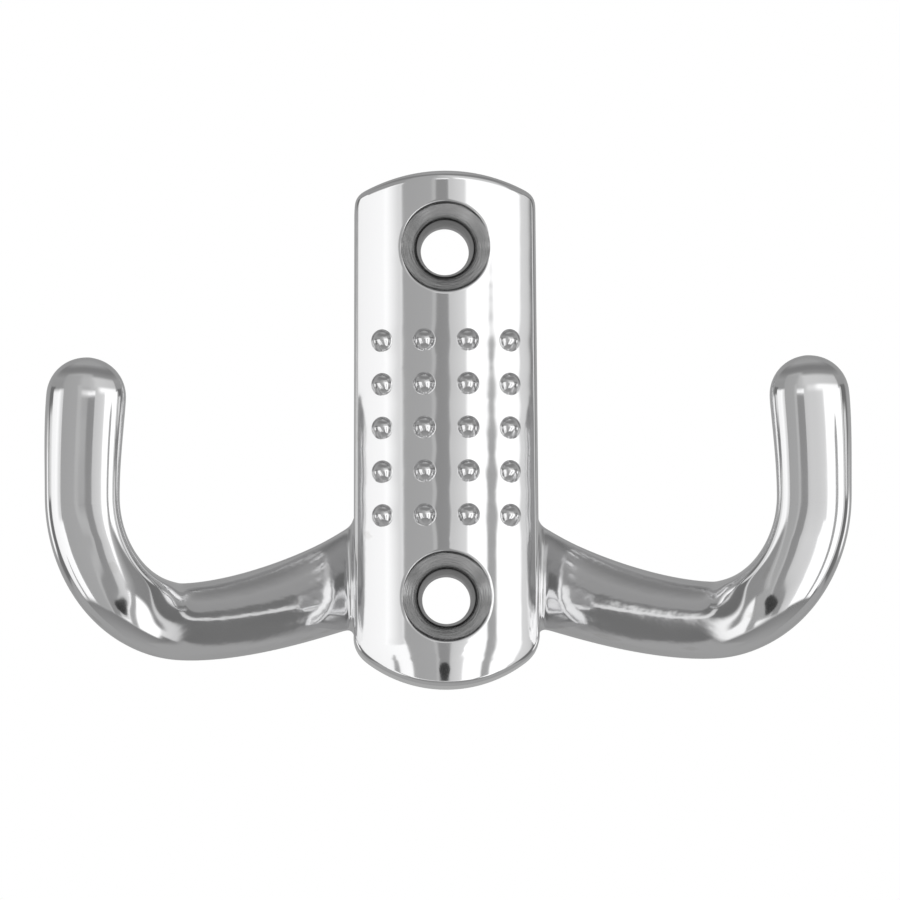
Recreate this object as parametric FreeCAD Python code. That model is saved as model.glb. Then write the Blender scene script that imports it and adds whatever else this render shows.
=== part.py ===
import FreeCAD, Part
import math
import os

# Double robe hook, one zinc casting: an upright plate that is screwed to the wall, and two
# oval arms that sweep forwards from its sides and turn up into blunt tips.
# All lengths are millimetres and all angles are degrees.
# The back of the plate lies on the plane y = 0 and the front looks towards -Y, with +Z up.
# The origin is on that back plane, midway between the two screw holes.

# Plate, as seen from the front
plate_width_top = 16.5
plate_width_foot = 17.0
top_above_holes = 7.0
foot_below_holes = 8.1
top_end_radius = 16.8
foot_end_radius = 12.0
top_corner_radius = 1.3
foot_corner_radius = 2.8

# Plate, as seen along its length
plate_thickness = 7.0
crown_radius = 15.2
front_edge_radius = 0.7

# Screw holes
screw_spacing = 32.0
bore_diameter = 4.4
bore_length = 2.5
bore_at_cone = 5.2
countersink_diameter = 8.2
countersink_angle = 90.0
countersink_sink = 0.55

# Raised pips
pip_columns = 4
pip_rows = 5
pip_pitch = 4.0
pip_diameter = 2.0
pip_height = 0.7

# Arms: the centre line runs in an upright plane that is swept forwards from the wall
sweep_angle = 35.0
root_set_back = 0.4
root_height = -13.9
bend_start = 19.15
bend_radius = 10.85
bend_centre_height = -7.75
run_curve_power = 1.6
tip_height = 4.9
tip_lean = 0.45

# Arm section: half heights lie across the bar in the plane of its bend, and depths stand out
# of that plane, in front of the bar's widest line or behind it
root_half_height = 4.5
low_half_height = 3.5
neck_half_height = 3.38
tip_half_height = 3.62
root_front_depth = 1.6
bar_front_depth = 2.1
tip_front_depth = 2.4
root_back_depth = 2.0
bar_back_depth = 2.7
tip_back_depth = 2.7
tip_cap_length = 3.6
ridge_drop_at_root = 1.2
ridge_shape = 1.7
flat_face_shape = 2.7
back_shape = 2.0
root_fillet_radius = 0.6
# Shares of the run, and of the bend, by which the bar has its full depth and its flat face
full_depth_share = 0.5
flat_face_share = 2.0 / 3.0

# How finely the arm is described
run_stations = 7
bend_stations = 6
upright_stations = 3
cap_stations = 4
points_per_quarter = 6

half_spacing = screw_spacing / 2.0
plate_top = half_spacing + top_above_holes
plate_foot = -half_spacing - foot_below_holes
plate_height = plate_top - plate_foot
plate_middle = (plate_top + plate_foot) / 2.0
bend_lowest = bend_centre_height - bend_radius
bend_outermost = bend_start + bend_radius
upright_end = tip_height - tip_cap_length
# The plate is cut from a block deeper than itself, and the crown takes off the rest
stock_depth = 2.0 * plate_thickness
# The arm starts this far inside the plate, so that the whole of its tilted end is buried
root_overlap = 2.0 * root_half_height / 3.0
# The fillet at a root takes up to this share of the flat side left below the arm
fillet_share_of_room = 0.7
# Shapes this near to each other count as touching
touching = 0.001


def front(x, z):
    """A point of the wall plane, as seen from the front."""
    return FreeCAD.Vector(x, 0.0, z)


def half_width_at(z):
    """Half the width of the plate, which tapers a little towards its top."""
    share = (z - plate_foot) / plate_height
    return (plate_width_foot + (plate_width_top - plate_width_foot) * share) / 2.0


def end_sagitta(radius, half_width):
    """How far an end arc of this radius drops between its middle and its corners."""
    return radius - math.sqrt(radius ** 2 - half_width ** 2)


def plate_outline():
    """The plate's outline: two straight sides between a shallow top arc and a fuller foot arc."""
    top_half = half_width_at(plate_top)
    foot_half = half_width_at(plate_foot)
    top_corner = plate_top - end_sagitta(top_end_radius, top_half)
    foot_corner = plate_foot + end_sagitta(foot_end_radius, foot_half)
    edges = [
        Part.Arc(front(-top_half, top_corner), front(0, plate_top), front(top_half, top_corner)),
        Part.LineSegment(front(top_half, top_corner), front(foot_half, foot_corner)),
        Part.Arc(front(foot_half, foot_corner), front(0, plate_foot), front(-foot_half, foot_corner)),
        Part.LineSegment(front(-foot_half, foot_corner), front(-top_half, top_corner)),
    ]
    return Part.Wire([edge.toShape() for edge in edges])


def is_corner_edge(edge):
    """True for an edge that runs straight from the back of the plate to its front."""
    run = edge.Vertexes[-1].Point - edge.Vertexes[0].Point
    return run.Length > touching and run.Length - abs(run.y) < touching


def is_front_rim(edge):
    """True for an edge of the rim between the crowned face and the walls round it."""
    return edge.CenterOfMass.y < -front_edge_radius and not is_corner_edge(edge)


def plate_blank():
    """The plate without holes: a crowned block with rounded corners and a rounded front rim."""
    slab = Part.Face(plate_outline()).extrude(FreeCAD.Vector(0, -stock_depth, 0))
    for radius, above in ((top_corner_radius, True), (foot_corner_radius, False)):
        corners = [e for e in slab.Edges if is_corner_edge(e) and (e.CenterOfMass.z > 0) == above]
        slab = slab.makeFillet(radius, corners)
    upwards = FreeCAD.Vector(0, 0, 1)
    axis_point = FreeCAD.Vector(0, crown_radius - plate_thickness, plate_foot - plate_height)
    crown = Part.makeCylinder(crown_radius, 3 * plate_height, axis_point, upwards)
    blank = slab.common(crown)
    rim = [edge for edge in blank.Edges if is_front_rim(edge)]
    return blank.makeFillet(front_edge_radius, rim)


def screw_hole(z):
    """The space of one screw: a bore, a drafted throat, a cone, and a short pocket at the face."""
    into_wall = FreeCAD.Vector(0, 1, 0)
    sink_radius = countersink_diameter / 2.0
    throat_radius = bore_at_cone / 2.0
    bore_radius = bore_diameter / 2.0
    cone_depth = (sink_radius - throat_radius) / math.tan(math.radians(countersink_angle / 2.0))
    mouth = -plate_thickness - pip_height
    cone_mouth = -plate_thickness + countersink_sink
    cone_floor = cone_mouth + cone_depth
    pocket = Part.makeCylinder(sink_radius, cone_mouth - mouth, FreeCAD.Vector(0, mouth, z), into_wall)
    cone = Part.makeCone(
        sink_radius, throat_radius, cone_depth, FreeCAD.Vector(0, cone_mouth, z), into_wall
    )
    throat = Part.makeCone(
        throat_radius, bore_radius, -bore_length - cone_floor, FreeCAD.Vector(0, cone_floor, z), into_wall
    )
    bore = Part.makeCylinder(bore_radius, bore_length, FreeCAD.Vector(0, -bore_length, z), into_wall)
    return pocket.fuse([cone, throat, bore])


def pip(column, row):
    """One raised pip: the cap of a ball sunk under the crowned face."""
    foot = pip_diameter / 2.0
    ball_radius = (foot ** 2 + pip_height ** 2) / (2.0 * pip_height)
    along_face = (column - (pip_columns - 1) / 2.0) * pip_pitch
    turn = along_face / crown_radius
    from_axis = crown_radius + pip_height - ball_radius
    x = from_axis * math.sin(turn)
    y = crown_radius - plate_thickness - from_axis * math.cos(turn)
    z = plate_middle + ((pip_rows - 1) / 2.0 - row) * pip_pitch
    return Part.makeSphere(ball_radius, FreeCAD.Vector(x, y, z))


def blend(start, end, share):
    """A smooth step from start to end as share goes from 0 to 1."""
    share = min(max(share, 0.0), 1.0)
    return start + (end - start) * share * share * (3.0 - 2.0 * share)


class Station:
    """One place along the arm, in its swept plane, with the size of the bar's section there."""

    def __init__(self, out, up, slope, half_height, front_depth, back_depth):
        self.out = out
        self.up = up
        self.slope = slope
        self.half_height = half_height
        self.front_depth = front_depth
        self.back_depth = back_depth
        self.turn = 0.0
        self.ridge = 0.0
        self.face_shape = ridge_shape


def run_stations_list():
    """Stations of the run, which falls from the plate and levels out where the bend starts."""
    fall = root_height - bend_lowest
    stations = []
    for number in range(run_stations):
        out = -root_overlap + (bend_start + root_overlap) * number / run_stations
        share = max(out, 0.0) / bend_start
        left = 1.0 - out / bend_start
        up = bend_lowest + fall * left ** run_curve_power
        steepness = -run_curve_power * fall / bend_start * left ** (run_curve_power - 1.0)
        half_height = root_half_height + (low_half_height - root_half_height) * math.sqrt(share)
        front_depth = blend(root_front_depth, bar_front_depth, share / full_depth_share)
        back_depth = blend(root_back_depth, bar_back_depth, share / full_depth_share)
        slope = math.atan(steepness)
        station = Station(out, up, slope, half_height, front_depth, back_depth)
        station.ridge = -ridge_drop_at_root * left ** 2
        stations.append(station)
    return stations


def bend_stations_list():
    """Stations of the quarter bend, over which the ridge fades and the face turns outwards."""
    stations = []
    for number in range(bend_stations):
        share = number / float(bend_stations)
        slope = share * math.pi / 2.0
        out = bend_start + bend_radius * math.sin(slope)
        up = bend_centre_height - bend_radius * math.cos(slope)
        half_height = blend(low_half_height, neck_half_height, share)
        station = Station(out, up, slope, half_height, bar_front_depth, bar_back_depth)
        station.turn = blend(0.0, math.radians(sweep_angle), share)
        station.face_shape = blend(ridge_shape, flat_face_shape, share / flat_face_share)
        stations.append(station)
    return stations


def upright_station(up):
    """A station of the upright, which leans back towards the plate and thickens to the tip."""
    length = upright_end - bend_centre_height
    share = (up - bend_centre_height) / length
    out = bend_outermost - tip_lean * share ** 2
    slope = math.pi / 2.0 + math.atan(2.0 * tip_lean * share / length)
    half_height = blend(neck_half_height, tip_half_height, share)
    front_depth = blend(bar_front_depth, tip_front_depth, share)
    back_depth = blend(bar_back_depth, tip_back_depth, share)
    station = Station(out, up, slope, half_height, front_depth, back_depth)
    station.turn = math.radians(sweep_angle)
    station.face_shape = flat_face_shape
    return station


def upright_stations_list():
    """Stations from the end of the bend to the foot of the rounded tip."""
    length = upright_end - bend_centre_height
    heights = [bend_centre_height + length * n / upright_stations for n in range(upright_stations)]
    return [upright_station(up) for up in heights + [upright_end]]


def cap_stations_list():
    """Stations of the rounded tip, drawn in along a quarter ellipse."""
    end = upright_station(upright_end)
    stations = []
    for number in range(1, cap_stations + 1):
        angle = 0.5 * math.pi * number / (cap_stations + 1)
        rise = tip_cap_length * math.sin(angle)
        out = end.out + rise * math.cos(end.slope)
        up = end.up + rise * math.sin(end.slope)
        narrow = math.cos(angle)
        half_height = end.half_height * narrow
        front_depth = end.front_depth * narrow
        back_depth = end.back_depth * narrow
        station = Station(out, up, end.slope, half_height, front_depth, back_depth)
        station.turn = end.turn
        station.face_shape = blend(flat_face_shape, back_shape, 1.0 - narrow)
        stations.append(station)
    return stations


def in_space(out, up):
    """A point of the right arm's swept plane, in the part's own frame."""
    sweep = math.radians(sweep_angle)
    start = half_width_at(root_height)
    x = start + out * math.cos(sweep)
    y = -root_set_back - out * math.sin(sweep)
    return FreeCAD.Vector(x, y, up)


def section_axes(station):
    """The directions across the bar and out of its front face at a station."""
    sweep = math.radians(sweep_angle)
    outwards = FreeCAD.Vector(math.cos(sweep), -math.sin(sweep), 0)
    level = FreeCAD.Vector(0, 0, 1)
    across = level * math.cos(station.slope) - outwards * math.sin(station.slope)
    facing = FreeCAD.Vector(-math.sin(sweep), -math.cos(sweep), 0)
    turned_across = across * math.cos(station.turn) + facing * math.sin(station.turn)
    turned_facing = facing * math.cos(station.turn) - across * math.sin(station.turn)
    return turned_across, turned_facing


def section_wire(station):
    """The bar's section: four quarter ovals, the two in front either ridged or flattened."""
    across, facing = section_axes(station)
    centre = in_space(station.out, station.up) + across * station.ridge
    count = 4 * points_per_quarter
    points = []
    for number in range(count):
        angle = 2.0 * math.pi * (number + 0.5) / count
        in_front = math.sin(angle) > 0
        shape = station.face_shape if in_front else back_shape
        depth = station.front_depth if in_front else station.back_depth
        side = math.copysign(abs(math.cos(angle)) ** (2.0 / shape), math.cos(angle))
        proud = math.copysign(abs(math.sin(angle)) ** (2.0 / shape), math.sin(angle))
        reach = station.half_height - station.ridge * math.copysign(1.0, side)
        points.append(centre + across * (reach * side) + facing * (depth * proud))
    even_steps = [number / float(count) for number in range(count + 1)]
    curve = Part.BSplineCurve()
    curve.interpolate(Points=points, PeriodicFlag=True, Parameters=even_steps)
    return Part.Wire(curve.toShape())


def right_arm():
    """The arm on the +X side, from inside the plate to its closed tip."""
    stations = run_stations_list() + bend_stations_list()
    stations += upright_stations_list() + cap_stations_list()
    end = upright_station(upright_end)
    out = end.out + tip_cap_length * math.cos(end.slope)
    up = end.up + tip_cap_length * math.sin(end.slope)
    profile = [section_wire(station) for station in stations]
    profile.append(Part.Vertex(in_space(out, up)))
    return Part.makeLoft(profile, True)


def behind_wall():
    """The space behind the wall plane, which trims the roots of the arms flush."""
    size = 4.0 * plate_height
    corner = FreeCAD.Vector(-size / 2.0, 0, -size / 2.0)
    return Part.makeBox(size, size, size, corner)


def lies_on(edge, shape):
    """True where the middle of the edge touches this shape."""
    middle = edge.valueAt((edge.FirstParameter + edge.LastParameter) / 2.0)
    return shape.distToShape(Part.Vertex(middle))[0] < touching


def is_root_edge(edge, plate, arms):
    """True for an edge where an arm meets the plate, in front of the wall."""
    return edge.CenterOfMass.y < -touching and lies_on(edge, plate) and lies_on(edge, arms)


def root_fillet(plate, roots):
    """The radius of the fillet at the roots.

    Between the arm and the foot corner it is limited by the flat side of the plate. An arm that
    reaches past the start of that corner has its fillet run on round the corner.
    """
    sides = [face for face in plate.Faces if isinstance(face.Surface, Part.Plane)]
    outer_side = max(sides, key=lambda face: face.CenterOfMass.x)
    lowest = min(vertex.Z for edge in roots for vertex in edge.Vertexes)
    room = lowest - outer_side.BoundBox.ZMin
    if room < touching:
        return root_fillet_radius
    return min(root_fillet_radius, fillet_share_of_room * room)


def hook_casting():
    """The whole casting, as one solid."""
    plate = plate_blank()
    arm = right_arm().cut(behind_wall())
    mirrored = arm.mirror(FreeCAD.Vector(0, 0, 0), FreeCAD.Vector(1, 0, 0))
    arms = Part.makeCompound([arm, mirrored])
    body = plate.fuse([arm, mirrored])
    roots = [edge for edge in body.Edges if is_root_edge(edge, plate, arms)]
    body = body.makeFillet(root_fillet(plate, roots), roots)
    pips = [pip(column, row) for column in range(pip_columns) for row in range(pip_rows)]
    body = body.fuse(pips)
    return body.cut([screw_hole(half_spacing), screw_hole(-half_spacing)])


os.makedirs("parts", exist_ok=True)
casting = hook_casting()
casting.exportStep("parts/hook_casting.step")
box = casting.BoundBox
print("solids", len(casting.Solids), "valid", casting.isValid())
print("size", round(box.XLength, 2), round(box.YLength, 2), round(box.ZLength, 2))
print("volume", round(casting.Volume, 1))
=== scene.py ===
# %% [markdown]
# # Double robe hook
# One zinc casting, chrome plated: a plate that is screwed to the wall, with a grid of raised
# pips between its two screw holes, and two arms that sweep forwards and turn up into blunt
# tips. Polished chrome has hardly any colour of its own. What shows on it is the studio round
# it, so this lesson spends as much care on the panels that the metal mirrors as on the metal.

# %% Load the frame
import bmesh
import bpy
import math
from mathutils import Matrix, Quaternion, Vector


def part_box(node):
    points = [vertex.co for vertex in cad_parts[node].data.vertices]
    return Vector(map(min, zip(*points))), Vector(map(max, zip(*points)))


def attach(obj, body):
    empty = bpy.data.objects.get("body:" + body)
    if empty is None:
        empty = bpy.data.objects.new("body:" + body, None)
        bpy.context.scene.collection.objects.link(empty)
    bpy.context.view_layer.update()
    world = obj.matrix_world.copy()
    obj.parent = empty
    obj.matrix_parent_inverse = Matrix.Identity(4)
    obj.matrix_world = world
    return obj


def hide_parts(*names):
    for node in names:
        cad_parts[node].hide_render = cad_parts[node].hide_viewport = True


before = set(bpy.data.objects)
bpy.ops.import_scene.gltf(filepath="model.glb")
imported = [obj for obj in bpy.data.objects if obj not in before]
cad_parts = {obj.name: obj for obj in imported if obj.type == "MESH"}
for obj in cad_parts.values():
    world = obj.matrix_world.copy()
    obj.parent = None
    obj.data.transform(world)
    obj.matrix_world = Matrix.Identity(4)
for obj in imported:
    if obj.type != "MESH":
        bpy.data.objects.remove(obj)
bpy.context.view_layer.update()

MM = 0.001
casting_low, casting_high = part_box("hook_casting")
print("casting in mm, from", [round(v / MM, 2) for v in casting_low])
print("casting in mm, to", [round(v / MM, 2) for v in casting_high])
bpy.ops.object.select_all(action="DESELECT")

# %% [markdown]
# ## The camera
# The photograph was taken with a long lens, a little from below and a touch from the left: the
# plate shows no side and the two arms are almost the same size. The distance sets how much
# nearer the tips look than the plate, and the focal length then sets the size in the picture.
# A camera is aimed most simply by building its rotation from the direction in which it looks.

# %% Place the camera
camera_distance = 1200 * MM
camera_azimuth = math.radians(-0.8)
camera_elevation = math.radians(-5.0)
camera_roll = math.radians(-0.25)
plate_front = Vector((0, -7.0, 0)) * MM
picture_middle = Vector((0.32, -7.0, -2.67)) * MM

towards_camera = Vector((
    math.sin(camera_azimuth) * math.cos(camera_elevation),
    -math.cos(camera_azimuth) * math.cos(camera_elevation),
    math.sin(camera_elevation),
))
camera_data = bpy.data.cameras.new("studio_camera")
camera_data.sensor_width = 36.0
camera_data.lens = 527.0
camera = bpy.data.objects.new("studio_camera", camera_data)
bpy.context.scene.collection.objects.link(camera)
camera.location = plate_front + towards_camera * camera_distance
aim = (picture_middle - camera.location).to_track_quat("-Z", "Y")
camera.rotation_mode = "QUATERNION"
camera.rotation_quaternion = aim @ Quaternion((0, 0, 1), camera_roll)
bpy.context.scene.camera = camera
print("camera at", [round(v, 3) for v in camera.location])

# %% [markdown]
# ## Growing a form ring by ring
# Every form of this casting can be drawn as closed rings of corners: the rim of the plate, the
# wall of a screw hole, a pip, an arm. By hand, a ring is extruded and the new ring is moved to
# its place, again and again. Each corner carries two marks of its own, the number of its ring
# and how far round the ring it lies, so the same corners can be found again after every step.
# The forms are modelled in millimetres, and only the finished casting is brought to metres.

# %% Helpers for rings
# Corners that are nearer to each other than this, in mm, are one corner.
touching = 0.001


def marks(mesh):
    """The two marks of each corner: its ring's number, and its place round the ring."""
    ring = mesh.verts.layers.int.get("ring") or mesh.verts.layers.int.new("ring")
    along = mesh.verts.layers.float.get("along") or mesh.verts.layers.float.new("along")
    return ring, along


def select_rings(obj, *numbers):
    """Selects whole rings: their corners and the edges between corners of the same ring."""
    bpy.ops.mesh.select_all(action="DESELECT")
    mesh = bmesh.from_edit_mesh(obj.data)
    ring, _ = marks(mesh)
    for edge in mesh.edges:
        first, second = edge.verts
        if first[ring] == second[ring] and first[ring] in numbers:
            edge.select_set(True)
    bmesh.update_edit_mesh(obj.data)


def grow_ring(obj, number, place):
    """Extrudes ring number - 1 and moves each new corner to place(along), which is ring number."""
    select_rings(obj, number - 1)
    bpy.ops.mesh.extrude_region_move()
    mesh = bmesh.from_edit_mesh(obj.data)
    ring, along = marks(mesh)
    for corner in mesh.verts:
        if corner.select:
            corner[ring] = number
            corner.co = place(corner[along])
    bmesh.update_edit_mesh(obj.data)


# %% [markdown]
# A form starts as a circle. It ends closed, either drawn together at a point or with one face.
# Then its faces are turned outwards and a level of subdivision rounds it. The modifier could stay
# live, but some corners are still moved after it, so it is applied.

# %% Helpers that start, close and round a form
def first_ring(name, count, place):
    """A circle of count corners, each moved to place(share of the way round). Leaves edit mode on."""
    bpy.ops.mesh.primitive_circle_add(vertices=count, fill_type="NOTHING")
    obj = bpy.context.object
    obj.name = name
    bpy.ops.object.mode_set(mode="EDIT")
    bpy.ops.mesh.select_mode(type="EDGE")
    mesh = bmesh.from_edit_mesh(obj.data)
    ring, along = marks(mesh)
    mesh.verts.ensure_lookup_table()
    for index, corner in enumerate(mesh.verts):
        corner[ring] = 1
        corner[along] = index / count
        corner.co = place(index / count)
    bmesh.update_edit_mesh(obj.data)
    return obj


def close_ring(obj, number, point=None):
    """Closes a ring: drawn together at a point where one is given, and else with one face."""
    select_rings(obj, number)
    if point is None:
        bpy.ops.mesh.edge_face_add()
        return
    bpy.ops.mesh.extrude_region_move()
    mesh = bmesh.from_edit_mesh(obj.data)
    for corner in mesh.verts:
        if corner.select:
            corner.co = point
    bmesh.update_edit_mesh(obj.data)
    bpy.ops.mesh.remove_doubles(threshold=touching, use_unselected=False)


def finish_form(obj, levels):
    """Leaves edit mode with the faces outwards and smooth, and rounds the form by subdivision."""
    bpy.ops.mesh.select_all(action="SELECT")
    bpy.ops.mesh.normals_make_consistent(inside=False)
    bpy.ops.object.mode_set(mode="OBJECT")
    bpy.ops.object.shade_smooth()
    rounder = obj.modifiers.new("rounder", "SUBSURF")
    rounder.levels = levels
    rounder.render_levels = levels
    rounder.boundary_smooth = "PRESERVE_CORNERS"
    bpy.ops.object.modifier_apply(modifier=rounder.name)
    print(obj.name, len(obj.data.vertices), "corners", len(obj.data.polygons), "faces")


# %% [markdown]
# ## The plate's outline
# Seen from the front, the plate has two straight sides that taper a little, a shallow arc at its
# top and a fuller arc at its foot, with small round corners. It could be drawn as a curve object,
# but a formula is handier: any corner can be asked where it belongs, and which way is outwards.

# %% Draw the outline
plate_width_top = 16.5
plate_width_foot = 17.0
plate_top = 23.0
plate_foot = -24.1
top_end_radius = 16.8
foot_end_radius = 12.0
top_corner_radius = 1.3
foot_corner_radius = 2.8


def half_width_at(z):
    """Half the plate's width at a height."""
    share = (z - plate_foot) / (plate_top - plate_foot)
    return (plate_width_foot + (plate_width_top - plate_width_foot) * share) / 2


def corner_arc(end_centre, end_radius, corner_radius, up):
    """The centre of the round corner between the side and an end arc, and where the arcs meet."""
    x = half_width_at(end_centre + up * end_radius) - corner_radius
    rise = math.sqrt((end_radius - corner_radius) ** 2 - x ** 2)
    return Vector((x, end_centre + up * rise)), math.atan2(rise, x)


foot_centre = plate_foot + foot_end_radius
top_centre = plate_top - top_end_radius
foot_corner, foot_meeting = corner_arc(foot_centre, foot_end_radius, foot_corner_radius, -1)
top_corner, top_meeting = corner_arc(top_centre, top_end_radius, top_corner_radius, 1)
outline_lengths = (
    foot_end_radius * (math.pi / 2 - foot_meeting),
    foot_corner_radius * foot_meeting,
    top_corner[1] - foot_corner[1],
    top_corner_radius * top_meeting,
    top_end_radius * (math.pi / 2 - top_meeting),
)
half_outline = sum(outline_lengths)


def arc_point(centre, radius, angle):
    """A point of an arc with its outward direction."""
    outward = Vector((math.cos(angle), math.sin(angle)))
    return centre + outward * radius, outward


def outline_at(way):
    """Point and outward direction at a way from the middle of the foot, up the right side."""
    if way > half_outline:
        point, outward = outline_at(2 * half_outline - way)
        return Vector((-point[0], point[1])), Vector((-outward[0], outward[1]))
    if way < 0:
        point, outward = outline_at(-way)
        return Vector((-point[0], point[1])), Vector((-outward[0], outward[1]))
    for number, length in enumerate(outline_lengths):
        if way <= length:
            break
        way -= length
    if number == 0:
        return arc_point(Vector((0, foot_centre)), foot_end_radius, way / foot_end_radius - math.pi / 2)
    if number == 1:
        return arc_point(foot_corner, foot_corner_radius, way / foot_corner_radius - foot_meeting)
    if number == 2:
        z = foot_corner[1] + way
        return Vector((half_width_at(z), z)), Vector((1, 0))
    if number == 3:
        return arc_point(top_corner, top_corner_radius, way / top_corner_radius)
    return arc_point(Vector((0, top_centre)), top_end_radius, top_meeting + way / top_end_radius)


print("outline", round(2 * half_outline, 2), "mm round")

# %% [markdown]
# ## The crowned face
# Seen from above, the face is one arc: the crown. Towards the foot it also rolls back a little,
# which only the mirrored stripes betray: they draw together there. Round each pip it swells very
# slightly, where the metal was drawn up into the pip. The face could be a bent sheet, but as a
# formula it stays exact, and its rounded rim can be worked out from its slope at the edge.

# %% Draw the crowned face
plate_thickness = 7.0
crown_radius = 15.2
rim_radius = 0.7
roll_width = 4.0
roll_slope = 0.53
roll_soft = 1.4
pip_columns = 4
pip_rows = 5
pip_pitch = 4.0
plate_middle = (plate_top + plate_foot) / 2
swell_height = 0.025
swell_reach = 1.3
swell_ends = 6.0
slope_step = 0.01


def crown_y(x):
    """Where the crowned face lies in front of the wall, at a place across the plate."""
    return crown_radius - plate_thickness - math.sqrt(crown_radius ** 2 - x ** 2)


pip_places = [
    (crown_radius * math.sin((column - (pip_columns - 1) / 2) * pip_pitch / crown_radius),
     plate_middle + ((pip_rows - 1) / 2 - row) * pip_pitch)
    for column in range(pip_columns) for row in range(pip_rows)
]


def face_y(x, z):
    """The whole face: the crown, its roll towards the foot, and the low swell round each pip."""
    y = crown_y(x)
    rolled = plate_foot + roll_width - z
    if rolled > 0:
        y += roll_slope * (math.sqrt(rolled ** 2 + roll_soft ** 2) - roll_soft)
    for pip_x, pip_z in pip_places:
        away = ((x - pip_x) ** 2 + (z - pip_z) ** 2) / swell_reach ** 2
        if away < swell_ends:
            y -= swell_height * math.exp(-away)
    return y


def face_lean(point, outward):
    """How steeply the face falls back at a point, in the direction out across its edge."""
    ahead, behind = point + outward * slope_step, point - outward * slope_step
    return math.atan((face_y(*ahead) - face_y(*behind)) / (2 * slope_step))


def rim_point(way, share):
    """A point of the rounded rim: share 0 touches the face, and share 1 touches the wall."""
    edge, outward = outline_at(way)
    lean = face_lean(edge - outward * rim_radius * 0.8, outward)
    touch = edge - outward * rim_radius * (1 - math.sin(lean))
    middle_y = face_y(*touch) + rim_radius * math.cos(lean)
    angle = lean + (math.pi / 2 - lean) * share
    inwards = rim_radius * (1 - math.sin(angle))
    point = edge - outward * inwards
    return Vector((point[0], middle_y - rim_radius * math.cos(angle), point[1]))


print("face stands", round(-face_y(0, 0), 2), "mm out in the middle and",
      round(-face_y(0, plate_foot + rim_radius), 2), "mm at the foot")

# %% [markdown]
# ## The front face as a grid
# A flat grid becomes the face: its four edges are laid along the touching line of the rim, its
# inner corners are spread evenly between them, and all are pressed onto the crown. Even squares
# matter here, because chrome shows each uneven one. A single large face with a subdivision could
# follow the outline too, but its squares would crowd in the corners.

# %% Spread the grid between its edges
columns = 30
rows = 76
foot_turn = outline_lengths[0] + outline_lengths[1] / 2
top_turn = half_outline - outline_lengths[4] - outline_lengths[3] / 2


def edge_point(way):
    """The grid's own edge: the line where the rim touches the crown."""
    point = rim_point(way, 0)
    return Vector((point[0], point[2]))


def sheet_point(across, up):
    """A point of the face from its shares across and up, spread between the four edges."""
    foot = edge_point(-foot_turn + 2 * foot_turn * across)
    top = edge_point(2 * half_outline - top_turn - 2 * (half_outline - top_turn) * across)
    side = foot_turn + (top_turn - foot_turn) * up
    right = edge_point(side)
    left = Vector((-right[0], right[1]))
    corner_foot = edge_point(foot_turn)
    corner_top = edge_point(top_turn)
    between_ends = foot * (1 - up) + top * up
    between_sides = left * (1 - across) + right * across
    half = corner_foot[0] * (1 - up) + corner_top[0] * up
    level = corner_foot[1] * (1 - up) + corner_top[1] * up
    return between_ends + between_sides - Vector((half * (2 * across - 1), level))


def edge_way(across, up):
    """The way along the outline that belongs to a corner on the grid's edge, or None inside."""
    if across >= 1:
        return foot_turn + (top_turn - foot_turn) * up
    if across <= 0:
        return 2 * half_outline - (foot_turn + (top_turn - foot_turn) * up)
    if up <= 0:
        way = -foot_turn + 2 * foot_turn * across
        return way if way >= 0 else way + 2 * half_outline
    if up >= 1:
        return 2 * half_outline - top_turn - 2 * (half_outline - top_turn) * across
    return None


print("grid of", columns, "by", rows, "faces")

# %% [markdown]
# Round each screw hole a square block of faces is taken out, and rings will lead from its square
# edge to a circle. A boolean cut would be quicker, but it leaves long thin faces round the hole.
# The rings round the rim are numbered from 100 on, those of the upper hole from 200 on and those
# of the lower hole from 400 on.

# %% Lay out the grid
RIM, HOLE = 100, 200
hole_heights = (16.0, -16.0)
block_half = 5.0


def lay_sheet(name):
    """The flat grid in its outline, with a square block left out round each screw hole."""
    bpy.ops.mesh.primitive_grid_add(x_subdivisions=columns, y_subdivisions=rows, size=2)
    obj = bpy.context.object
    obj.name = name
    bpy.ops.object.mode_set(mode="EDIT")
    bpy.ops.mesh.select_mode(type="FACE")
    mesh = bmesh.from_edit_mesh(obj.data)
    ring, along = marks(mesh)
    foot, top, side = edge_point(0)[1], edge_point(half_outline)[1], edge_point(foot_turn)[0]
    for face in mesh.faces:
        middle = face.calc_center_median()
        x, z = middle.x * side, foot + (top - foot) * (middle.y + 1) / 2
        near = min(abs(z - height) for height in hole_heights)
        face.select_set(abs(x) < block_half and near < block_half)
    for corner in mesh.verts:
        across, up = (corner.co.x + 1) / 2, (corner.co.y + 1) / 2
        across, up = round(across * columns) / columns, round(up * rows) / rows
        place = sheet_point(across, up)
        way = edge_way(across, up)
        if way is not None:
            corner[ring] = RIM
            corner[along] = way
        corner.co = (place[0], 0, place[1])
    bmesh.update_edit_mesh(obj.data)
    bpy.ops.mesh.delete(type="FACE")
    mesh = bmesh.from_edit_mesh(obj.data)
    ring, along = marks(mesh)
    for corner in mesh.verts:
        if corner.is_boundary and corner[ring] == 0:
            number = 0 if corner.co.z > 0 else 1
            corner[ring] = HOLE * (number + 1)
            corner[along] = math.atan2(corner.co.z - hole_heights[number], corner.co.x)
    bmesh.update_edit_mesh(obj.data)
    bpy.ops.mesh.select_mode(type="EDGE")
    return obj


plate = lay_sheet("plate_face")
print("grid laid,", len(bmesh.from_edit_mesh(plate.data).faces), "faces left")

# %% [markdown]
# ## From square to circle, and down the screw hole
# The first rings outside the hole are still flat. Each is a mix of the square block's edge and
# the circle, so the squares turn round gradually. The sink then has a soft lip, because plating
# and polishing leave no edge sharp, a short wall, a cone for the screw's head and a bore.

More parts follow.
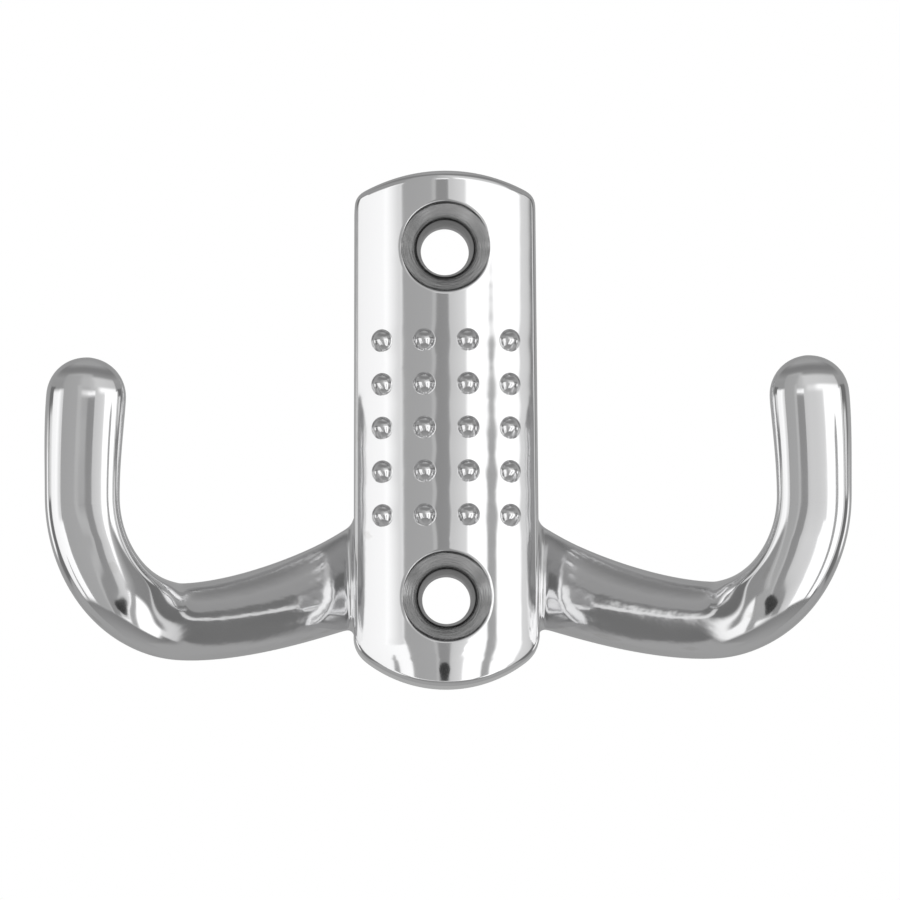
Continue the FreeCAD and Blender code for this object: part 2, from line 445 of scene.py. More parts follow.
# %% Rules for the rings of a screw hole
bore_radius = 2.2
bore_length = 2.5
throat_radius = 2.6
sink_radius = 4.1
sink_depth = 0.55
lip = 0.16
least_wall = 0.02
turning_shares = (0.4, 0.75, 1.0)
cone_mouth = -plate_thickness + sink_depth
cone_floor = cone_mouth + (sink_radius - throat_radius)
soft = 0.07


def hole_ring(height, radius, depth):
    """Places a ring of a screw hole: a circle whose depth is a number or a rule."""
    def place(angle):
        x, z = radius * math.cos(angle), radius * math.sin(angle)
        y = depth(x) if callable(depth) else depth
        return Vector((x, y, height + z))
    return place


def wall_depth(share, sunk):
    """The depth down the short wall under the lip, which vanishes at the sides of the crown."""
    def depth(x):
        top = crown_y(x)
        wall = max(cone_mouth - top, least_wall)
        return top + min(sunk, share * wall) if sunk > 0 else top + wall + max(sunk, -share * wall)
    return depth


def lip_depth(x):
    """The depth where the lip has turned a third of the way down."""
    return crown_y(x) + 0.3 * min(lip, max(cone_mouth - crown_y(x), 2.5 * least_wall))


def square_to_circle(start, share, height, radius, flat):
    """Places a ring part of the way from the block's square edge to the circle."""
    def place(angle):
        square = start[round(angle, 4)]
        circle = Vector((radius * math.cos(angle), 0, height + radius * math.sin(angle)))
        point = square.lerp(circle, share)
        return Vector((point.x, 0 if flat else face_y(point.x, point.z), point.z))
    return place


def block_edge(obj, number):
    """Where each corner of a block's square edge lies, by its angle."""
    mesh = bmesh.from_edit_mesh(obj.data)
    ring, along = marks(mesh)
    return {round(c[along], 4): c.co.copy() for c in mesh.verts if c[ring] == number}


print("screw hole, bore", 2 * bore_radius, "mm and sink", 2 * sink_radius, "mm across")

# %% [markdown]
# Both holes are grown with the same list of rings, from the lip inwards and down to the back of
# the plate. Two rings close together hold an edge crisp when the form is subdivided, and rings
# further apart leave it round.

# %% Grow the screw holes
for index, height in enumerate(hole_heights):
    number = HOLE * (index + 1)
    start = block_edge(plate, number)
    outer = sink_radius + 2.5 * lip
    for share in turning_shares:
        number += 1
        grow_ring(plate, number, square_to_circle(start, share, height, outer, False))
    for radius, depth in (
        (sink_radius + lip, crown_y),
        (sink_radius + 0.3 * lip, lip_depth),
        (sink_radius, wall_depth(0.5, lip)),
        (sink_radius - 0.01, wall_depth(0.2, -0.06)),
        (sink_radius - 0.1, cone_mouth + 0.1),
        (sink_radius - 0.5, cone_mouth + 0.5),
        (throat_radius + 0.5, cone_floor - 0.5),
        (throat_radius + soft, cone_floor - soft),
        (throat_radius, cone_floor + soft),
        ((throat_radius + bore_radius) / 2, (cone_floor - bore_length) / 2),
        (bore_radius, -bore_length),
        (bore_radius, -bore_length / 2),
        (bore_radius, -2 * soft),
        (bore_radius + soft, 0),
    ):
        number += 1
        grow_ring(plate, number, hole_ring(height, radius, depth))
print("rings down each hole", number % HOLE)

# %% [markdown]
# ## The rim and the wall
# A casting has no sharp outer edge, and polishing rounds it further. A bevel would make the
# rounding too, but its width would follow the uneven faces. Rings that are placed by the outline
# keep the radius true all the way round, and further rings run down the wall to the back.

# %% Press the face onto the crown and grow the rim
mesh = bmesh.from_edit_mesh(plate.data)
ring, along = marks(mesh)
for corner in mesh.verts:
    if corner[ring] in (0, RIM, HOLE, 2 * HOLE):
        corner.co.y = face_y(corner.co.x, corner.co.z)
bmesh.update_edit_mesh(plate.data)

rim_steps = 4
number = RIM
for step in range(1, rim_steps + 1):
    number += 1
    grow_ring(plate, number, lambda way, share=step / rim_steps: rim_point(way, share))


def wall_point(inset, y):
    """Places a ring of the wall round the plate: how far in from the outline, and its depth."""
    def place(way):
        edge, outward = outline_at(way)
        point = edge - outward * inset
        return Vector((point[0], y, point[1]))
    return place


def wall_between(share):
    """Places a ring part of the way from the rim down the wall."""
    def place(way):
        point = rim_point(way, 1)
        return Vector((point.x, point.y * (1 - share), point.z))
    return place


def back_edge(way):
    """The edge of the grid on the back."""
    point = edge_point(way)
    return Vector((point[0], 0, point[1]))


for place in (
    wall_between(0.08), wall_between(0.5), wall_point(0, -3 * soft), wall_point(0, -soft),
    wall_point(soft, 0), back_edge,
):
    number += 1
    grow_ring(plate, number, place)
print("rings round the rim", number - RIM)

# %% [markdown]
# ## The back of the plate
# The back is flat. It has the same grid and the same round holes as the front, so it is laid out
# once more. Its outer and inner edges lie exactly where the last rings of the front ended, so
# the two are joined by merging the corners that meet. Bridging would have to guess the pairs.

# %% Lay the back and merge it with the front
bpy.ops.object.mode_set(mode="OBJECT")
bpy.ops.object.select_all(action="DESELECT")
back = lay_sheet("plate_back")
for index, height in enumerate(hole_heights):
    number = HOLE * (index + 1)
    start = block_edge(back, number)
    for share in turning_shares:
        number += 1
        grow_ring(back, number, square_to_circle(start, share, height, bore_radius + 0.5, True))
    grow_ring(back, number + 1, hole_ring(height, bore_radius + 2 * soft, 0))
    grow_ring(back, number + 2, hole_ring(height, bore_radius + soft, 0))
bpy.ops.object.mode_set(mode="OBJECT")
bpy.ops.object.select_all(action="DESELECT")
back.select_set(True)
plate.select_set(True)
bpy.context.view_layer.objects.active = plate
bpy.ops.object.join()
bpy.ops.object.mode_set(mode="EDIT")
bpy.ops.mesh.select_all(action="SELECT")
bpy.ops.mesh.remove_doubles(threshold=touching)
mesh = bmesh.from_edit_mesh(plate.data)
print("open edges left", sum(edge.is_boundary for edge in mesh.edges))
finish_form(plate, 1)

# %% [markdown]
# Subdivision draws each corner a few thousandths of a millimetre towards its neighbours, and on
# chrome even that shows as a dent. So the corners of the face are pressed onto its formula again.

# %% Press the face again
drawn_in = 0.01
clear_of_lip = sink_radius + 1.5 * lip


def from_nearest_hole(x, z):
    """How far a place of the plate is from the axis of the nearer screw hole."""
    return min(math.hypot(x, z - height) for height in hole_heights)


pressed = 0
for corner in plate.data.vertices:
    x, y, z = corner.co
    if abs(y - face_y(x, z)) < drawn_in and from_nearest_hole(x, z) > clear_of_lip:
        corner.co.y = face_y(x, z)
        pressed += 1
print("corners pressed onto the face again", pressed)
print("plate from", [round(min(v.co[i] for v in plate.data.vertices), 2) for i in range(3)],
      "to", [round(max(v.co[i] for v in plate.data.vertices), 2) for i in range(3)], "mm")

# %% [markdown]
# ## The pips
# A pip is a small dome with a soft foot that runs out onto the face. Its light shows that it is
# a ball from side to side, but falls away more like a soft roof towards its top and its foot. A
# ball primitive would lack both, so it is grown from rings, once, and flat on the plane y = 0.

# %% Model one pip
pip_height = 0.7
pip_ball = 1.0
pip_foot = 0.2
pip_corners = 28
roof_slope_up, roof_slope_down = 0.56, 0.85
roof_soft = 0.3
roof_ends = 8
pip_root, pip_sunk = 0.3, 0.02
foot_rings, dome_rings = 4, 8
foot_reach = math.sqrt((pip_ball + pip_foot) ** 2 - (pip_ball - pip_height + pip_foot) ** 2)
foot_angle = math.asin(foot_reach / (pip_ball + pip_foot))


def flat_ring(radius, height):
    """Places a ring of the pip before it is laid on the crown."""
    def place(share):
        angle = 2 * math.pi * share
        lift = height(math.sin(angle)) if callable(height) else height
        return Vector((radius * math.cos(angle), -lift, radius * math.sin(angle)))
    return place


def dome_height(radius):
    """The dome's height at a radius: a ball from side to side, and a soft roof from top to foot."""
    ball = pip_ball - math.sqrt(pip_ball ** 2 - radius ** 2)
    edge = pip_ball * math.sin(foot_angle)
    whole = pip_ball - math.sqrt(pip_ball ** 2 - edge ** 2)

    def height(upright):
        slope = roof_slope_up if upright > 0 else roof_slope_down
        fallen = slope * (math.sqrt(radius ** 2 + roof_soft ** 2) - roof_soft)
        at_edge = slope * (math.sqrt(edge ** 2 + roof_soft ** 2) - roof_soft)
        roof = fallen + (whole - at_edge) * (radius / edge) ** roof_ends
        return pip_height - ball - (roof - ball) * upright ** 2
    return height


pip = first_ring("pip", pip_corners, flat_ring(foot_reach, -pip_root))
number = 1
profile = [(foot_reach, -pip_sunk)]
for step in range(1, foot_rings + 1):
    angle = foot_angle * step / foot_rings
    profile.append((foot_reach - pip_foot * math.sin(angle), pip_foot * (1 - math.cos(angle))))
for step in range(1, dome_rings):
    angle = foot_angle * (1 - step / dome_rings)
    profile.append((pip_ball * math.sin(angle), dome_height(pip_ball * math.sin(angle))))
for radius, height in profile:
    number += 1
    grow_ring(pip, number, flat_ring(radius, height))
close_ring(pip, number, Vector((0, -pip_height, 0)))
close_ring(pip, 1)
finish_form(pip, 1)

# %% [markdown]
# The pips stand in a grid of four by five, and each looks straight out of the crown. Copies of
# one mesh could be turned into place as objects, but the crown is bent under each pip too. So the
# corners of each copy are rolled onto it, as a flat sheet is rolled round a drum.

# %% Lay the pips on the crown
def on_crown(point, turn, height):
    """A point of the flat pip, rolled onto the crown at a turn and a height."""
    angle = turn + point.x / crown_radius
    out = crown_radius - point.y + swell_height
    y = crown_radius - plate_thickness - out * math.cos(angle)
    return Vector((out * math.sin(angle), y, height + point.z))


pips = []
for column in range(pip_columns):
    for row in range(pip_rows):
        turn = (column - (pip_columns - 1) / 2) * pip_pitch / crown_radius
        height = plate_middle + ((pip_rows - 1) / 2 - row) * pip_pitch
        copy = pip.copy()
        copy.data = pip.data.copy()
        copy.name = f"pip_{column + 1}_{row + 1}"
        bpy.context.scene.collection.objects.link(copy)
        for corner in copy.data.vertices:
            corner.co = on_crown(corner.co, turn, height)
        pips.append(copy)
bpy.data.objects.remove(pip)
print("pips", len(pips))

# %% [markdown]
# ## The arms
# An arm is a bar that is bent in one upright plane and swept forwards from the wall. Near the
# plate its front is softly ridged and looks inwards along the run. Through the bend the face
# turns to look straight ahead and flattens. The law of the centre line gives a place, a slope
# and a section for every way along the bar, and rings of corners follow it from root to tip.

# %% Write the law of the bar
sweep = math.radians(35.0)
root_set_back = 0.4
root_height = -13.9
bend_start = 19.15
bend_radius = 10.85
bend_centre_height = -7.75
run_power = 1.6
tip_height = 4.9
tip_lean = 0.45
tip_cap_length = 3.6
root_half_height, low_half_height, neck_half_height, tip_half_height = 4.5, 3.5, 3.38, 3.62
root_front_depth, bar_front_depth, tip_front_depth = 1.6, 2.1, 2.4
root_back_depth, bar_back_depth, tip_back_depth = 2.0, 2.7, 2.7
ridge_drop = 1.2
turn_share, turn_power, turn_start = 0.5, 2.4, 0.12
face_ahead = 0.45
crest_height, crest_width, crest_inwards = 0.014, 0.45, 0.6
ridge_shape, flat_shape, back_shape = 1.7, 2.7, 2.0
full_depth_share, flat_face_share = 0.5, 0.4
bend_lowest = bend_centre_height - bend_radius
upright_end = tip_height - tip_cap_length
RUN, BEND, UPRIGHT, CAP = range(4)


def ease(start, end, share):
    """A smooth step from start to end."""
    share = min(max(share, 0.0), 1.0)
    return start + (end - start) * share * share * (3 - 2 * share)


def station(zone, share):
    """Out, up, slope, half height, front depth, back depth, turn, ridge and front shape."""
    if zone == RUN:
        fall = root_height - bend_lowest
        left = 1 - share
        slope = math.atan(-run_power * fall / bend_start * left ** (run_power - 1))
        half = root_half_height + (low_half_height - root_half_height) * math.sqrt(max(share, 0))
        front = ease(root_front_depth, bar_front_depth, share / full_depth_share)
        back = ease(root_back_depth, bar_back_depth, share / full_depth_share)
        up = bend_lowest + fall * left ** run_power
        return share * bend_start, up, slope, half, front, back, 0.0, -ridge_drop * left ** 2, ridge_shape
    if zone == BEND:
        slope = share * math.pi / 2
        out = bend_start + bend_radius * math.sin(slope)
        up = bend_centre_height - bend_radius * math.cos(slope)
        half = ease(low_half_height, neck_half_height, share)
        shape = ease(ridge_shape, flat_shape, share / flat_face_share)
        whole_turn = math.hypot(1, turn_start) - turn_start
        turned = (math.hypot(share / turn_share, turn_start) - turn_start) / whole_turn
        turn = sweep * (1 - max(0.0, 1 - turned) ** turn_power)
        return out, up, slope, half, bar_front_depth, bar_back_depth, turn, 0.0, shape
    if zone == UPRIGHT:
        length = upright_end - bend_centre_height
        out = bend_start + bend_radius - tip_lean * share ** 2
        slope = math.pi / 2 + math.atan(2 * tip_lean * share / length)
        half = ease(neck_half_height, tip_half_height, share)
        front = ease(bar_front_depth, tip_front_depth, share)
        back = ease(bar_back_depth, tip_back_depth, share)
        return out, bend_centre_height + length * share, slope, half, front, back, sweep, 0.0, flat_shape
    out, up, slope, half, front, back, turn, ridge, shape = station(UPRIGHT, 1)
    rise = tip_cap_length * math.sin(share * math.pi / 2)
    narrow = math.cos(share * math.pi / 2)
    shape = ease(flat_shape, back_shape, 1 - narrow)
    out, up = out + rise * math.cos(slope), up + rise * math.sin(slope)
    return out, up, slope, half * narrow, front * narrow, back * narrow, turn, ridge, shape


print("arm bends upwards", bend_start + bend_radius, "mm out along the bar")

# %% [markdown]
# A section of the bar is an oval whose front and back halves have their own depth and fullness.
# A bevelled curve could carry one section along the bar, but not one that changes from an inward
# ridge to a flat face. So one formula places any point of the surface: which way the section is
# turned there, how far round it the point lies, and the low crest down the middle of the front.

# %% Write the law of the surface
def widest_ahead(zone, share):
    """How far the widest line of the section lies in front of the centre line."""
    if zone == RUN:
        return 0.0
    return ease(0, face_ahead, share) if zone == BEND else face_ahead


def arm_point(zone, share, around):
    """A point of the right arm's surface; around goes once round the bar from 0 to 1."""
    out, up, slope, half, front, back, turn, ridge, shape = station(zone, share)
    ahead = widest_ahead(zone, share)
    narrow = half / tip_half_height if zone == CAP else 1.0
    front, back = front - ahead * narrow, back + ahead * narrow
    outwards = Vector((math.cos(sweep), -math.sin(sweep), 0))
    facing = Vector((-math.sin(sweep), -math.cos(sweep), 0))
    across = Vector((0, 0, 1)) * math.cos(slope) - outwards * math.sin(slope)
    turned_across = across * math.cos(turn) + facing * math.sin(turn)
    turned_facing = facing * math.cos(turn) - across * math.sin(turn)
    angle = 2 * math.pi * around
    side, in_front = math.cos(angle), math.sin(angle) > 0
    power = shape if in_front else back_shape
    proud = (1 - abs(side) ** power) ** (1 / power)
    lift = front * proud if in_front else -back * proud
    if in_front and zone != RUN:
        from_crest = (side * half - crest_inwards) / crest_width
        lift += ahead / face_ahead * narrow * crest_height * math.exp(-from_crest ** 2)
    reach = half - ridge * math.copysign(1.0, side)
    start = half_width_at(root_height)
    centre = Vector((start + out * math.cos(sweep), -root_set_back - out * math.sin(sweep), up))
    return centre + turned_across * (ridge + reach * side) + turned_facing * (ahead + lift)


# %% [markdown]
# At the root, the rings have to lie flat against the side of the plate, and the casting runs
# into it with a small hollow fillet. So the first rings are cut square to the plate: each of
# their points is slid along the bar until it stands at one distance from the plate's side, and
# is then pushed outwards by what the fillet adds at that distance.

# %% Rules for the rings at the root
arm_corners = 64
fillet = 0.8
halvings = 30


def at_distance(around, distance):
    """The point of the bar's surface at a distance from the plate's side, found by halving."""
    low, high = -0.25, 0.5
    for _ in range(halvings):
        middle = (low + high) / 2
        if arm_point(RUN, middle, around).x - half_width_at(root_height) < distance:
            low = middle
        else:
            high = middle
    return middle, arm_point(RUN, middle, around)


def root_ring(distance, pushed):
    """Places a ring square to the plate at a distance from it, pushed outwards for the fillet."""
    def place(around):
        step = 0.5 / arm_corners
        _, point = at_distance(around, distance)
        ahead = at_distance(around + step, distance)[1] - at_distance(around - step, distance)[1]
        outward = Vector((0, -ahead.z, ahead.y)).normalized()
        middle = at_distance(0, distance)[1].lerp(at_distance(0.5, distance)[1], 0.5)
        if outward.dot(point - middle) < 0:
            outward = -outward
        return point + outward * pushed
    return place


def sliding_ring(share, square):
    """Places a ring of the run that is still partly square to the plate."""
    def place(around):
        slid, _ = at_distance(around, fillet)
        start = at_distance(0.25, fillet)[0]
        return arm_point(RUN, share + (slid - start) * square, around)
    return place


def plain_ring(zone, share):
    """Places a ring of the bar square to its own centre line."""
    return lambda around: arm_point(zone, share, around)


def half_a_step_on(place):
    """The same ring half a step on, so that no corner sits on the section's own end points."""
    return lambda share: place(share + 0.5 / arm_corners)


print("bar is", round(2 * root_half_height, 2), "mm high at its root, and the fillet is", fillet, "mm")

# %% [markdown]
# The first ring lies inside the plate. The fillet follows in quarter-circle steps, then the run,
# whose rings turn little by little from square to the plate to square to the bar. The bend, the
# upright part and the rounded tip each get as many rings as their curve needs.

# %% Grow one arm
root_start = -0.6
fillet_steps = 4
straighten_rings = 8
run_rings = 16
bend_rings, upright_rings, cap_rings = 26, 8, 9
cap_end = 0.96

arm = first_ring("arm_right", arm_corners, half_a_step_on(root_ring(root_start, fillet)))
number = 1
for step in range(fillet_steps + 1):
    angle = math.pi / 2 * step / fillet_steps
    number += 1
    place = root_ring(fillet * (1 - math.cos(angle)), fillet * (1 - math.sin(angle)))
    grow_ring(arm, number, half_a_step_on(place))
run_first = at_distance(0.25, fillet)[0]
for step in range(1, run_rings + 1):
    share = run_first + (1 - run_first) * step / run_rings
    square = max(0.0, 1 - step / straighten_rings)
    number += 1
    grow_ring(arm, number, half_a_step_on(sliding_ring(share, square)))
for zone, count, last in (
    (BEND, bend_rings, 1.0), (UPRIGHT, upright_rings, 1.0), (CAP, cap_rings, cap_end),
):
    for step in range(1, count + 1):
        number += 1
        grow_ring(arm, number, half_a_step_on(plain_ring(zone, last * step / count)))
close_ring(arm, number, arm_point(CAP, 1.0, 0))
close_ring(arm, 1)
finish_form(arm, 1)

# %% [markdown]
# The back of the root reaches a little past the wall, so it is cut off flush with the plate's
# back. The left arm is the right one seen in a mirror. A negative scale would do that, but it
# turns the faces inside out, so the corners are moved and the faces are turned outwards again.

# %% Trim the arm flush with the wall and mirror it
bpy.ops.object.mode_set(mode="EDIT")
bpy.ops.mesh.select_all(action="SELECT")
bpy.ops.mesh.bisect(plane_co=(0, 0, 0), plane_no=(0, 1, 0), use_fill=True, clear_outer=True)
bpy.ops.object.mode_set(mode="OBJECT")
bpy.ops.object.select_all(action="DESELECT")
arm.select_set(True)
bpy.ops.object.duplicate()
other_arm = bpy.context.object
other_arm.name = "arm_left"
for corner in other_arm.data.vertices:
    corner.co.x = -corner.co.x
bpy.ops.object.mode_set(mode="EDIT")
bpy.ops.mesh.select_all(action="SELECT")
bpy.ops.mesh.normals_make_consistent(inside=False)
bpy.ops.object.mode_set(mode="OBJECT")
print("arm reaches", round(max(v.co.x for v in arm.data.vertices), 2), "mm out and",
      round(-min(v.co.y for v in arm.data.vertices), 2), "mm forwards")

# %% [markdown]
# ## One casting
# On the real hook all of this is one pour of metal. A boolean union would cut slivers where the
# forms meet, and chrome shows each one, so the closed forms are only joined into one object, each
# with its root buried in the plate. Then the millimetres become metres, in the mesh itself.

# %% Join the casting and bring it to metres
sharp_angle = math.radians(35)
bpy.ops.object.select_all(action="DESELECT")
for piece in [plate, arm, other_arm] + pips:
    piece.select_set(True)
bpy.context.view_layer.objects.active = plate
bpy.ops.object.join()
casting = plate
casting.name = "chromed_casting"
casting.data.transform(Matrix.Scale(MM, 4))
bpy.ops.object.shade_smooth_by_angle(angle=sharp_angle)
print("casting", len(casting.data.polygons), "faces")

# %% [markdown]
# A mirror shows the smallest error in the direction of a surface. Blender averages that direction
# from the faces round a corner, which is a little wrong where the faces are uneven, as round the
# screw holes. The face of the plate is a formula, so its true direction is written in instead.

# %% Write the true directions of the plate's face
well_in_front = -4.0
off_face = 0.002


def true_direction(x, z):
    """The direction in which the plate's face looks at a place."""
    across = (face_y(x + slope_step, z) - face_y(x - slope_step, z)) / (2 * slope_step)
    upwards = (face_y(x, z + slope_step) - face_y(x, z - slope_step)) / (2 * slope_step)
    return Vector((across, -1, upwards)).normalized()


on_face = {}
for corner in casting.data.vertices:
    x, y, z = (value / MM for value in corner.co)
    if abs(x) > half_width_at(0) or y > well_in_front or abs(y - face_y(x, z)) > off_face:
        continue
    if from_nearest_hole(x, z) > clear_of_lip:
        on_face[corner.index] = true_direction(x, z)
directions = [corner.vector.copy() for corner in casting.data.corner_normals]
for loop in casting.data.loops:
    if loop.vertex_index in on_face:
        directions[loop.index] = on_face[loop.vertex_index]
casting.data.normals_split_custom_set(directions)
print("corners with a true direction", len(on_face))

# %% [markdown]
# ## The light round the hook
# Polished chrome shows nothing but its surroundings, so the photograph is read like a map. The
# crowned plate mirrors everything from 60 degrees on the left to 60 degrees on the right, and the
# bends and tips mirror what is above and below. A picture wrapped round the world could give that
# light, but here the room stays a formula that can be changed. A direction is told by its azimuth,
# in degrees to the right of straight ahead, and its elevation, in degrees above the horizon.
# First comes the brightness of the bare room by its height, in front of the hook and behind it.

# %% Light by height
front_bands = (
    (-90, 0.40), (-75, 0.36), (-64, 0.29), (-55, 0.22), (-44, 0.22), (10, 0.30), (20, 0.36),
    (30, 0.36), (38, 0.38), (46, 0.31), (54, 0.25), (62, 0.25), (70, 0.33), (77, 0.41), (90, 0.41),
)
back_bands = (
    (-90, 0.40), (-75, 0.41), (-60, 0.40), (-40, 0.38), (0, 0.42), (30, 0.38), (60, 0.36), (90, 0.41),
)


def smooth(value, start, end):
    """0 before start, 1 after end, and a smooth step between them."""
    return ease(0.0, 1.0, (value - start) / (end - start))


def by_height(bands, elevation):
    """The brightness at a height, read from a list of heights and brightnesses."""
    for (low, dim), (high, bright) in zip(bands, bands[1:]):
        if elevation <= high:
            return dim + (bright - dim) * (elevation - low) / (high - low)
    return bands[-1][1]


print("room in front, from", min(level for _, level in front_bands), "to",
      max(level for _, level in front_bands))

# %% [markdown]
# Panels are then laid over the room one after another: two large softboxes beside the camera,
# grey sheets that give the plate its stripes, and the dark gap at the camera itself. Area lights
# would light the floor too, while these are only a pattern of brightness with soft edges.

# %% Panels of light
white = 1.35
panels = (
    # foot and head, sides at the foot, sides at the head, brightness left and right, soft edge
    ("right_side_floor", (-80, -42), (58, 120), (66, 120), (0.41, 0.41), 8),
    ("left_side_floor", (-80, -42), (-120, -58), (-120, -66), (0.41, 0.41), 8),
    ("right_side_shade", (-42, 22), (60, 92), (60, 92), (0.17, 0.20), 3),
    ("left_side_shade", (-42, 22), (-92, -60), (-92, -60), (0.20, 0.17), 3),
    ("right_side_strip", (1, 9), (65, 80), (65, 80), (0.9, 0.7), 3),
    ("right_side_window", (-24, 2), (87, 106), (87, 106), (1.2, 1.2), 8),
    ("left_side_window", (-24, 6), (-106, -87), (-106, -87), (1.2, 1.2), 8),
    ("left_side_strip", (1, 9), (-80, -65), (-80, -65), (0.7, 0.9), 3),
    ("left_upper_sheet", (22, 46), (-34, 0), (-34, 0), (0.42, 0.55), 8),
    ("right_upper_sheet", (18, 40), (-2, 52), (-2, 50), (0.74, 0.66), 8),
    ("left_softbox", (-57, 17), (-60, 0), (-66, 0), (1.1, white), 6),
    ("right_softbox", (-57, 17), (-2, 53), (-2, 55), (white, white), 2),
    ("left_shaded_sheet", (-10, 17), (-42, -30), (-42, -30), (1.3, 0.75), 4),
    ("left_grey_sheet", (-10, 42), (-29, -6), (-31, -6), (0.43, 0.46), 1.5),
    ("left_sheet_edge", (-10, 24), (-8.5, -6), (-8.5, -6), (0.56, 0.56), 1),
    ("right_grey_sheet", (-10, 22), (3, 15), (3, 15), (0.66, 0.84), 2),
    ("right_softbox_head", (15, 22), (8, 50), (8, 50), (white, 1.2), 6),
    ("right_outer_sheet", (-50, 18), (53, 63), (55, 62), (0.85, 0.7), 3),
    ("camera_gap", (-10, 12), (-6, 3), (-6, 3), (0.31, 0.33), 0.7),
    ("upper_camera_gap", (16, 36), (-6, 3), (-5, 2), (0.58, 0.62), 9),
    ("right_slit", (-57, 3.6), (29, 35.5), (29, 35.5), (0.40, 0.45), 0.8),
    ("right_slit_head", (3.6, 6.8), (29, 35.5), (31.6, 33.4), (0.40, 0.45), 0.8),
    ("left_slit", (-57, -30), (-44, -36), (-40, -39), (0.40, 0.40), 1),
)


def tent_light(azimuth, elevation, laid):
    """The brightness in one direction, with the laid panels over the room."""
    behind = smooth(abs(azimuth), 85, 110)
    light = by_height(front_bands, elevation) * (1 - behind) + by_height(back_bands, elevation) * behind
    for _, (foot, head), at_foot, at_head, (left, right), edge in laid:
        if elevation < foot - edge or elevation > head + edge:
            continue
        rise = min(max((elevation - foot) / (head - foot), 0), 1)
        first = at_foot[0] + (at_head[0] - at_foot[0]) * rise
        last = at_foot[1] + (at_head[1] - at_foot[1]) * rise
        if azimuth < first - edge or azimuth > last + edge:
            continue
        share = min(max((azimuth - first) / (last - first), 0), 1)
        cover = smooth(azimuth, first - edge / 2, first + edge / 2)
        cover *= 1 - smooth(azimuth, last - edge / 2, last + edge / 2)
        cover *= smooth(elevation, foot - edge / 2, foot + edge / 2)
        cover *= 1 - smooth(elevation, head - edge / 2, head + edge / 2)
        light += (left + (right - left) * share - light) * cover
    return light


print("panels", len(panels), "and straight ahead the light is", round(tent_light(0, 0, panels), 2))

# %% [markdown]
# ## The tent
# The light is put on one object: a tent, which is a sphere round the hook whose cloth glows
# unevenly. It is made as a flat grid with a corner every half degree across and every degree up,
# so that each corner knows its direction, and the grid is then rolled into a sphere. Its
# brightness is written on its corners. Only mirrored rays see the tent.

# %% Helpers for what glows
def write_on_corners(obj, name, values):
    """Writes a number onto each corner of a mesh, as an attribute that a material can read."""
    obj.data.attributes.new(name, "FLOAT", "POINT").data.foreach_set("value", values)


def glowing_paint(name):
    """A material with only a glow and an output, not yet joined; gives all three."""
    paint = bpy.data.materials.new(name)
    paint.use_nodes = True
    nodes = paint.node_tree.nodes
    nodes.clear()
    return paint, nodes.new("ShaderNodeEmission"), nodes.new("ShaderNodeOutputMaterial")


def read_from_corners(paint, name, socket):
    """Feeds an attribute of the mesh into a socket of its material."""
    attribute = paint.node_tree.nodes.new("ShaderNodeAttribute")
    attribute.attribute_name = name
    paint.node_tree.links.new(attribute.outputs["Fac"], socket)


def for_mirrors_only(obj):
    """Marks an object of the studio that only mirrored rays see."""
    obj.visible_camera = False
    obj.visible_diffuse = False
    obj.visible_shadow = False
    print(obj.name, "is seen by mirrored rays only")


# %% [markdown]
# The grid's own width of 2 stands for the whole way round, and its height of 2 for the way from
# straight down to straight up. A globe primitive has the same shape, but its corners don't say
# which direction they stand for.

# %% Sew the tent
tent_radius = 500 * MM
bpy.ops.mesh.primitive_grid_add(x_subdivisions=720, y_subdivisions=180, size=2)
tent = bpy.context.object
tent.name = "light_tent"
levels = []
for corner in tent.data.vertices:
    azimuth, elevation = 180 * corner.co.x, 90 * corner.co.y
    levels.append(tent_light(azimuth, elevation, panels))
    turn, rise = math.radians(azimuth), math.radians(elevation)
    level = Vector((math.sin(turn), -math.cos(turn), 0)) * math.cos(rise)
    corner.co = (level + Vector((0, 0, math.sin(rise)))) * tent_radius
write_on_corners(tent, "brightness", levels)
bpy.ops.object.shade_smooth()

tent_cloth, glow, output = glowing_paint("tent_cloth")
read_from_corners(tent_cloth, "brightness", glow.inputs["Strength"])
tent_cloth.node_tree.links.new(glow.outputs["Emission"], output.inputs["Surface"])
tent.data.materials.append(tent_cloth)
for_mirrors_only(tent)
print("tent with", len(levels), "corners")
print("brightness from", round(min(levels), 2), "to", round(max(levels), 2))

# %% [markdown]
# ## What stands near
# The arms mirror some things at another place than the plate does, and so these must stand near
# the hook: what is far away has one direction for all of it. Each near thing is a card, a grid
# whose corners are placed by two angles, as the tent's are, with its brightness and its
# solidity written on them, so that its edges can fade out softly.

# %% Helpers for near cards
card_faces = 100


def near_card(name, across, up, place, glow_at, solid_at):
    """A grid whose corners are placed, lit and faded out by rules of two angles in degrees."""
    bpy.ops.mesh.primitive_grid_add(x_subdivisions=card_faces, y_subdivisions=card_faces, size=2)
    card = bpy.context.object
    card.name = name
    lit, solid = [], []
    for corner in card.data.vertices:
        azimuth = across[0] + (across[1] - across[0]) * (corner.co.x + 1) / 2
        elevation = up[0] + (up[1] - up[0]) * (corner.co.y + 1) / 2
        lit.append(glow_at(azimuth, elevation))
        solid.append(solid_at(azimuth, elevation))
        corner.co = place(azimuth, elevation) * MM
    write_on_corners(card, "brightness", lit)
    write_on_corners(card, "solid", solid)
    card.data.materials.append(card_paint)
    for_mirrors_only(card)


